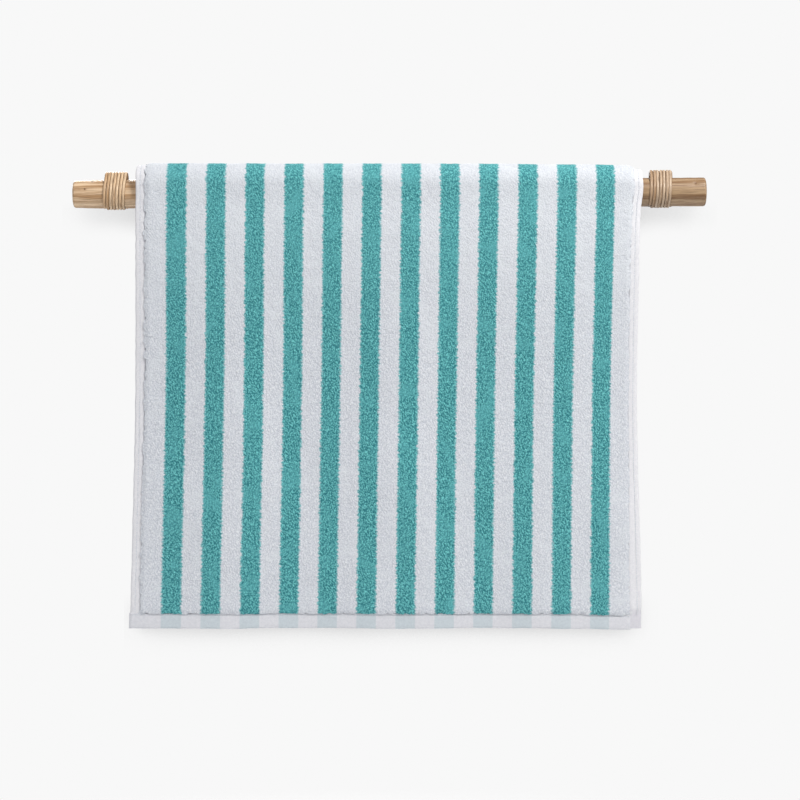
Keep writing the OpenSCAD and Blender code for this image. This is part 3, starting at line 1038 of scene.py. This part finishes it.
def seam(name, side, u, s, along_u):
    """One line of stitches on both faces of the cloth, at the given places."""
    shape = capsule()
    tilt = 0.12 * MM * np.sin(2.4 * np.arange(len(u)))[:, None, None]
    long = shape[..., 0] * STITCH * 0.4 + 0 * tilt
    wide = shape[..., 1] * 0.6 * MM + shape[..., 0] * tilt
    at_u = u[:, None, None] + (long if along_u else wide)
    at_s = s[:, None, None] + (wide if along_u else long)
    lofts = []
    for face in FACES.values():
        high = face * (hem_half * (0.88 + 0.24 * shape[..., 2]) - 0.4 * MM * np.abs(shape[..., 0]) ** 3)
        placed = on_cloth(at_u, at_s, side, high + 0 * at_u)
        cloth = np.stack([at_u, side * at_s], -1)
        lofts += [loft(points, own) for points, own in zip(placed, cloth)]
    return make_piece(name, lofts, cotton_thread)


seams = {}
for word, side in HALVES.items():
    down = np.arange(STITCH, pile_end, STITCH)
    over = np.arange(-edge + 4 * MM, pile_edge + 4 * MM - 1.8 * wide_hem(pile_end, side), STITCH)
    line = edge - SEAM_INSET
    seams[word] = {
        "left": seam(word + "_left_seam", side, np.full(len(down), -line), down, False),
        "right": seam(word + "_right_seam", side, np.full(len(down), line), down, False),
        "end": seam(word + "_end_seam", side, over, np.full(len(over), pile_end + 3 * MM), True),
    }
print("stitches in a side seam:", len(down))

# %% [markdown]
# The care label is a short loop of blank satin, sewn to the back of the end hem by its folded top edge.
# It is a sheet of its own: its lower edge curls a little away from the hem, and a row of small stitches
# holds it.

# %% Sew on the care label
label_low, label_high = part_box("care_label")
label_width, label_drop = label_high.x - label_low.x, label_high.z - label_low.z
label_top = pile_end + hem_top - label_high.z
LAYER, GAP = 0.17 * MM, 0.42 * MM


def satin_label():
    """A strip of satin, folded once, on the back of the hem."""
    u = np.linspace(label_low.x, label_high.x, 25)[:, None]
    down = np.linspace(0, label_drop - GAP, 12)
    arc = np.linspace(0, math.pi, 7)[1:-1]
    along = np.concatenate([down, down[-1] + GAP * np.sin(arc), down[::-1]])
    stand = np.concatenate([np.full(12, GAP), GAP * np.cos(arc), np.full(12, -GAP)])
    facing = np.concatenate([np.zeros(12), arc, np.full(12, math.pi)])
    outer = np.stack([along + LAYER * np.sin(facing), stand + LAYER * np.cos(facing)])
    inner = np.stack([along - LAYER * np.sin(facing), stand - LAYER * np.cos(facing)])[:, ::-1]
    around, thick = np.concatenate([outer, inner], 1)
    share = np.clip(around / label_drop, 0, 1)
    corner = np.abs(u - LABEL_X) / (label_width / 2)
    curl = share**2 * (0.9 + 1.1 * corner**3 + 0.35 * np.sin(260 * u)) * MM
    loose = 0.55 + 0.5 * np.sin(math.pi * share) ** 2
    points = on_cloth(u, label_top + around, BACK, hem_half + 0.85 * MM + curl + thick * loose)
    cloth = np.stack(np.broadcast_arrays(u, label_top + around), -1)
    return make_piece("satin_label", [loft(points, cloth)], label_satin)


def label_stitches():
    """The row of stitches that holds the label."""
    shape = capsule()
    places = np.arange(label_low.x + 2 * MM, label_high.x - 1 * MM, 3 * MM)
    lofts = []
    for u in places:
        at_u, at_s = u + shape[..., 0] * 1.1 * MM, label_top + 1.2 * MM + shape[..., 1] * 0.4 * MM
        high = hem_half + 1.15 * MM + 0.35 * MM * shape[..., 2] - 0.7 * MM * np.abs(shape[..., 0]) ** 3
        lofts.append(loft(on_cloth(at_u, at_s, BACK, high), np.stack([at_u, at_s], -1)))
    return make_piece("label_stitches", lofts, cotton_thread)


label = satin_label()
label_seam = label_stitches()
print("label is", round(label_width / MM, 1), "by", round(label_drop / MM, 1), "mm")

# %% [markdown]
# The rail is a straight stick of pale wood, worked by hand, so it is not a perfect cylinder. Its radius
# follows the frame: one size between the lashings and thinner bare ends. A little noise flattens it here
# and there, the end edges are worn round, and small dents are pressed in near the ends.

# %% Shape the rail
rail_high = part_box("rail")[1]
lashing_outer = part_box("right_lashing")[1].x
END_RADIUS = {-1: 20.7 * MM, 1: 21.8 * MM}
WORN, MEAN_RADIUS = 3.5 * MM, 20 * MM
DENTS = [
    (0.461, -0.99, 2.4, 1.5), (-0.448, -0.48, 3, 0.7), (-0.4586, -1.27, 2.5, 0.5),
    (0.447, 0.8, 4, 0.8), (-0.455, 2.1, 4, 0.6), (0.44, -2.2, 7, 0.4),
]


def rail_skin():
    """The rail as rings of points along X."""
    tip = rail_high.x
    # Each end is worn round at its edge and closed by three rings.
    inner = np.arange(-0.43, 0.4301, 0.005)
    outer = np.arange(0.434, tip - 3.9 * MM, 0.003)
    rim = tip - WORN * (1 - np.sin(np.linspace(0, math.pi / 2, 7)))
    shrink = WORN * (1 - np.cos(np.linspace(0, math.pi / 2, 7)))
    x = np.concatenate([outer, rim, [tip, tip + 0.1 * MM, tip - 0.1 * MM]])
    worn = np.concatenate([0 * outer, shrink, [8 * MM, 14 * MM, 18.5 * MM]])
    x = np.concatenate([-x[::-1], inner, x])
    worn = np.concatenate([worn[::-1], 0 * inner, worn])
    hand = np.sign(x)
    bare = ease((np.abs(x) - lashing_outer + 4 * MM) / (8 * MM))
    end_radius = np.where(hand < 0, END_RADIUS[-1], END_RADIUS[1])
    slope = np.where(hand < 0, 0.9, -0.25) * MM * ease((tip - np.abs(x)) / 0.045)
    radius = (rail_radius * (1 - bare) + (end_radius + slope) * bare - worn)[:, None]
    angle = np.linspace(0, 2 * math.pi, 73)[:-1]
    turned, along = angle * MEAN_RADIUS, x[:, None] + 0 * angle
    nearest = np.minimum(turned, 2 * math.pi * MEAN_RADIUS - turned)
    lumps = 0.22 * soft_noise(along * 0.3, nearest + 0 * along, 9 * MM, 51)
    lumps = lumps + 0.1 * soft_noise(along, np.cos(angle) * 0.02 + 0 * along, 4 * MM, 52)
    for at, where, size, depth in DENTS:
        sideways = np.angle(np.exp(1j * (angle - where))) * MEAN_RADIUS
        away = np.hypot((along - at) / (size * MM), sideways / (size * MM))
        lumps = lumps - depth * np.exp(-(away**2))
    radius = radius + (lumps - 0.12) * MM * np.clip(radius / MEAN_RADIUS, 0, 1)
    rows = np.stack([along, radius * np.sin(angle), radius * np.cos(angle)], -1)
    cloth = np.stack([along, turned + 0 * along], -1)
    return make_piece("rail_wood_stick", [loft(rows, cloth, place=(0.01, 0.98, 0.01, 0.98))], rail_wood)


rail = rail_skin()
print("dents in the rail:", len(DENTS))

# %% [markdown]
# Each lashing is a single strand of split cane, wound seven times round the rail and the packing block on
# top of it. The strand follows the tight outline round both: two arcs and two straight runs. Its section
# is flat inside and round outside. Each turn climbs along the rail as it goes round, so the turns lean.

# %% Wind the cane
TURNS, TURN_STEPS = 7, 60
PACKING_RADIUS = (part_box("left_packing")[1].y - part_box("left_packing")[0].y) / 2
packing_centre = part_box("left_packing")[1].z - PACKING_RADIUS
tangent = math.asin((rail_radius - PACKING_RADIUS) / packing_centre)


def wound_outline():
    """Places and outward directions once round the rail and packing, evenly spaced from the bottom."""
    low = np.linspace(-math.pi / 2, tangent, 60)
    high = np.linspace(tangent, math.pi / 2, 30)
    angle = np.concatenate([low, high])
    centre = np.concatenate([0 * low, 0 * high + packing_centre])
    reach = np.concatenate([0 * low + rail_radius, 0 * high + PACKING_RADIUS])
    y, z = reach * np.cos(angle), centre + reach * np.sin(angle)
    y, z = np.concatenate([-y, y[-2::-1]]), np.concatenate([z, z[-2::-1]])
    out = np.concatenate([np.pi - angle, angle[-2::-1]])
    walked = np.concatenate([[0], np.cumsum(np.hypot(np.diff(y), np.diff(z)))])
    even = np.linspace(0, walked[-1], TURN_STEPS + 1)
    return [np.interp(even, walked, item)[:-1] for item in (y, z, out)]


def cane_strand(name, low_x, high_x):
    """One strand wound from low_x to high_x."""
    y, z, out = wound_outline()
    pitch = (high_x - low_x) / TURNS
    count = TURNS * TURN_STEPS
    turn = np.arange(count) / TURN_STEPS
    which = np.arange(count) % TURN_STEPS
    # The strand climbs evenly, leans a little in each turn, and wanders by a third of a millimetre.
    lean = -0.5 * MM * np.cos(2 * math.pi * turn)
    uneven = 0.35 * MM * soft_noise(turn, 0 * turn + low_x * 9, 0.6, 61)
    x = low_x + pitch * (0.3 + turn * (TURNS - 0.6) / TURNS) + lean + uneven
    half = pitch * 0.465
    across = np.array([-1, -0.94, -0.78, -0.45, 0, 0.45, 0.78, 0.94, 1]) * half
    crown = np.array([0.04, 0.36, 0.66, 0.91, 1.0, 0.91, 0.66, 0.36, 0.04])
    # The strand's two ends taper and lie flat.
    fade = ease(np.minimum(turn, turn[-1] - turn) / 0.12)[:, None]
    swell = 1 + 0.1 * soft_noise(turn * 6, 0 * turn, 1.0, 62)[:, None]
    high = 0.08 * MM + 2.2 * MM * crown * swell * (0.25 + 0.75 * fade)
    section_x = np.concatenate([across, across[::-1]])[None, :] * (0.6 + 0.4 * fade)
    section_high = np.concatenate([high, np.full((count, 9), 0.06 * MM)], 1)
    ny, nz = np.cos(out[which])[:, None], np.sin(out[which])[:, None]
    rows = np.stack([
        x[:, None] + section_x,
        y[which][:, None] + ny * section_high,
        z[which][:, None] + nz * section_high,
    ], -1)
    along = np.arange(count)[:, None] * 2.9 * MM
    cloth = np.stack(np.broadcast_arrays(along, section_x), -1)
    return make_piece(name, [loft(rows, cloth, place=(0.01, 0.98, 0.01, 0.98))], cane_skin)


SLID = {"left": -1.5 * MM, "right": -2.4 * MM}
canes = []
for word, slid in SLID.items():
    low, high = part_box(word + "_lashing")
    canes.append(cane_strand(word + "_cane_strand", low.x + slid, high.x + slid))
for word in ("left_packing", "right_packing"):
    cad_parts[word].data.materials.clear()
    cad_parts[word].data.materials.append(packing_wood)
print("each lashing has", TURNS, "turns")

# %% [markdown]
# Now the pieces are set on the frame. The rail's pieces ride on the rail. The towel's pieces that run over
# the fold keep their place in the room, and the end hems and their seams ride on their hanging panel. The
# label rides on its own body and its stitches on the back panel. Each new piece hides the plain CAD solids
# that it stands for.

# %% Set the pieces on the frame
rail_ties = [
    (rail, "rail", "rail_wood"),
    (canes[0], "left_lashing", "cane"),
    (canes[1], "right_lashing", "cane"),
]
for piece, node, slot in rail_ties:
    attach(piece, "rail")
    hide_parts(node)

for word, side in HALVES.items():
    panel = word + "_panel"
    white, teal = terry[word]
    ties = [
        (base_cloths[word], "ground_cloth", "ground_cloth"),
        (white, "white_pile", "white_pile"),
        (teal, "teal_pile", "teal_pile"),
        (hems[word]["left"], "left_hem", "hem_weave"),
        (hems[word]["right"], "right_hem", "hem_weave"),
        (seams[word]["left"], "left_stitching", "thread"),
        (seams[word]["right"], "right_stitching", "thread"),
    ]
    for piece, node, slot in ties:
        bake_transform(piece)
        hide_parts(f"{word}_{node}", f"top_{node}")
    end_ties = [
        (hems[word]["end"], "end_hem", "hem_weave"),
        (seams[word]["end"], "end_stitching", "thread"),
    ]
    for piece, node, slot in end_ties:
        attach(piece, panel)
        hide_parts(f"{word}_{node}")

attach(label, "care_label")
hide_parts("care_label")
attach(label_seam, "back_panel")

# %% [markdown]
# The studio starts with a pale round floor far below. It fades out before its rim. Seen from below it is
# clear.

# %% Lay the studio floor
FLOOR_RADIUS, FLOOR_DROP = 2.4, 0.65


def studio_floor():
    """A pale disc whose rim fades away."""
    ring = np.linspace(0, 2 * math.pi, 97)[:-1]
    mesh = bpy.data.meshes.new("studio_floor")
    floor_z = cad_low.z - FLOOR_DROP
    rim = [(FLOOR_RADIUS * math.cos(t), FLOOR_RADIUS * math.sin(t), floor_z) for t in ring]
    mesh.from_pydata(rim, [], [list(range(len(rim)))])
    material, tree, shader = new_material("pale floor", 0.9, Specular_IOR_Level=0.1)
    shader.inputs["Base Color"].default_value = srgb(243, 243, 243)
    place = tree.add("ShaderNodeTexCoord").outputs["Object"]
    flat = tree.add("ShaderNodeVectorMath", {0: place}, operation="MULTIPLY")
    flat.inputs[1].default_value = (1, 1, 0)
    away = tree.add("ShaderNodeVectorMath", {0: flat.outputs[0]}, operation="LENGTH").outputs["Value"]
    from_above = tree.math("SUBTRACT", 1.0, tree.add("ShaderNodeNewGeometry").outputs["Backfacing"])
    solid = tree.math("MULTIPLY", tree.ramp(away, 2.35, 1.3), from_above)
    tree.link(solid, shader.inputs["Alpha"])
    mesh.materials.append(material)
    new_object("studio_floor", mesh)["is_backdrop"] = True


studio_floor()
print("floor", FLOOR_DROP, "m below the towel")

# %% [markdown]
# A clear film close behind the towel stands for a wall. It is three strips, one behind the hem and one
# behind each end of the rail. It stays invisible except for a faint contact shadow, which fades out
# before the strips' edges, and from behind it shows nothing at all.

# %% Hang a clear film for the contact shadow
FILM_GAP, FILM_MARGIN, FILM_DROP = 14 * MM, 25 * MM, 70 * MM
FILM_REACH, FILM_SHADE = 0.06, 0.42


def shadow_film():
    """Clear strips with a faint shade below what hangs in front of them."""
    behind = cad_high.y + FILM_GAP
    tip, under_hem = rail_high.x + FILM_MARGIN, hem_bottom - FILM_DROP
    # Each strip is its left, right, low and high edge. The shade fades out inside them.
    strips = [(-0.41, 0.41, under_hem, -0.6), (-tip, -0.37, -0.08, 0), (0.37, tip, -0.08, 0)]
    corners = []
    for left, right, low, high in strips:
        corners += [(left, behind, low), (right, behind, low), (right, behind, high), (left, behind, high)]
    mesh = bpy.data.meshes.new("shadow_film")
    mesh.from_pydata(corners, [], [(0, 1, 2, 3), (4, 5, 6, 7), (8, 9, 10, 11)])
    material = bpy.data.materials.new("shadow film")
    material.use_nodes = True
    tree = Tree(material.node_tree)
    material.node_tree.nodes.remove(material.node_tree.nodes["Principled BSDF"])
    # The shade is how much the towel and the rail hide of the light from above and in front.
    above = tree.add("ShaderNodeCombineXYZ", values={0: 0.1, 1: -0.6, 2: 0.79})
    reach = {"Distance": FILM_REACH}
    open_sky = tree.add("ShaderNodeAmbientOcclusion", {"Normal": above.outputs[0]}, reach, samples=8)
    from_behind = tree.add("ShaderNodeNewGeometry").outputs["Backfacing"]
    place = tree.add("ShaderNodeTexCoord").outputs["Object"]
    where = tree.split(place)
    beside = tree.ramp(tree.math("ABSOLUTE", where["X"]), 0.372, 0.386)
    fade_down, fade_up = tree.ramp(where["Z"], -0.07, -0.03), tree.ramp(where["Z"], -0.004, -0.02)
    under_rail = tree.math("MULTIPLY", tree.math("MULTIPLY", fade_down, fade_up), beside)
    close = tree.math("MAXIMUM", under_rail, tree.ramp(where["Z"], -0.6, -0.645))
    from_front = tree.math("SUBTRACT", 1.0, from_behind)
    shade = tree.math("MULTIPLY", tree.ramp(open_sky.outputs["AO"], 0.95, 0.35), from_front)
    amount = tree.math("MULTIPLY", tree.math("MULTIPLY", shade, close), FILM_SHADE)
    clear = tree.add("ShaderNodeBsdfTransparent")
    dark = tree.add("ShaderNodeEmission", values={"Color": srgb(120, 120, 122)})
    both = tree.add("ShaderNodeMixShader", {0: amount, 1: clear.outputs[0], 2: dark.outputs[0]})
    tree.link(both.outputs[0], material.node_tree.nodes["Material Output"].inputs["Surface"])
    mesh.materials.append(material)
    film = new_object("shadow_film", mesh)
    film.visible_shadow = film.visible_diffuse = film.visible_glossy = False
    film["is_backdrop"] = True


shadow_film()
print("film", round(FILM_GAP / MM), "mm behind the towel")

# %% [markdown]
# Three large soft lamps and a bright even room light the towel. The key lamp is high and to the right, so
# the cloth is a little darker towards the lower left. The room is brighter above than below, and plain
# behind the object.

# %% Place the lamps and light the room
def soft_lamp(name, place, target, size, power, colour=(1, 1, 1)):
    """A large square lamp that looks at a point."""
    data = bpy.data.lights.new(name, "AREA")
    data.size = size
    data.energy = power
    data.color = colour
    lamp = new_object(name, data)
    lamp.location = place
    lamp.rotation_euler = (Vector(target) - Vector(place)).to_track_quat("-Z", "Y").to_euler()


soft_lamp("key_lamp", (1.5, -1.5, 1.9), (0.05, 0, -0.15), 0.9, 73, (1, 0.98, 0.96))
soft_lamp("fill_lamp", (-1.9, -2.4, 0.3), (0, 0, -0.3), 1.8, 11, (0.97, 0.96, 1))
soft_lamp("back_lamp", (-1.0, 2.6, 1.1), (0, 0, -0.25), 1.6, 75)
world = bpy.data.worlds.new("studio_room")
world.use_nodes = True
room = Tree(world.node_tree)
seen = room.add("ShaderNodeLightPath").outputs["Is Camera Ray"]
room_light = world.node_tree.nodes["Background"]
upward = room.split(room.add("ShaderNodeTexCoord").outputs["Generated"])["Z"]
ceiling = room.mix(room.ramp(upward, -0.7, 0.9), (0.24, 0.24, 0.245, 1), (0.5, 0.5, 0.51, 1))
room.link(room.mix(seen, ceiling, srgb(248, 248, 248)), room_light.inputs["Color"])
bpy.context.scene.world = world
bpy.context.scene.view_settings.view_transform = "Standard"
print("studio ready")

# %% Measure the size
new_low, new_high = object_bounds()
grown = [round((b - a) / MM, 1) for a, b in zip((*cad_low, *cad_high), (*new_low, *new_high))]
print("the visual model passes the frame's box by", grown, "mm")
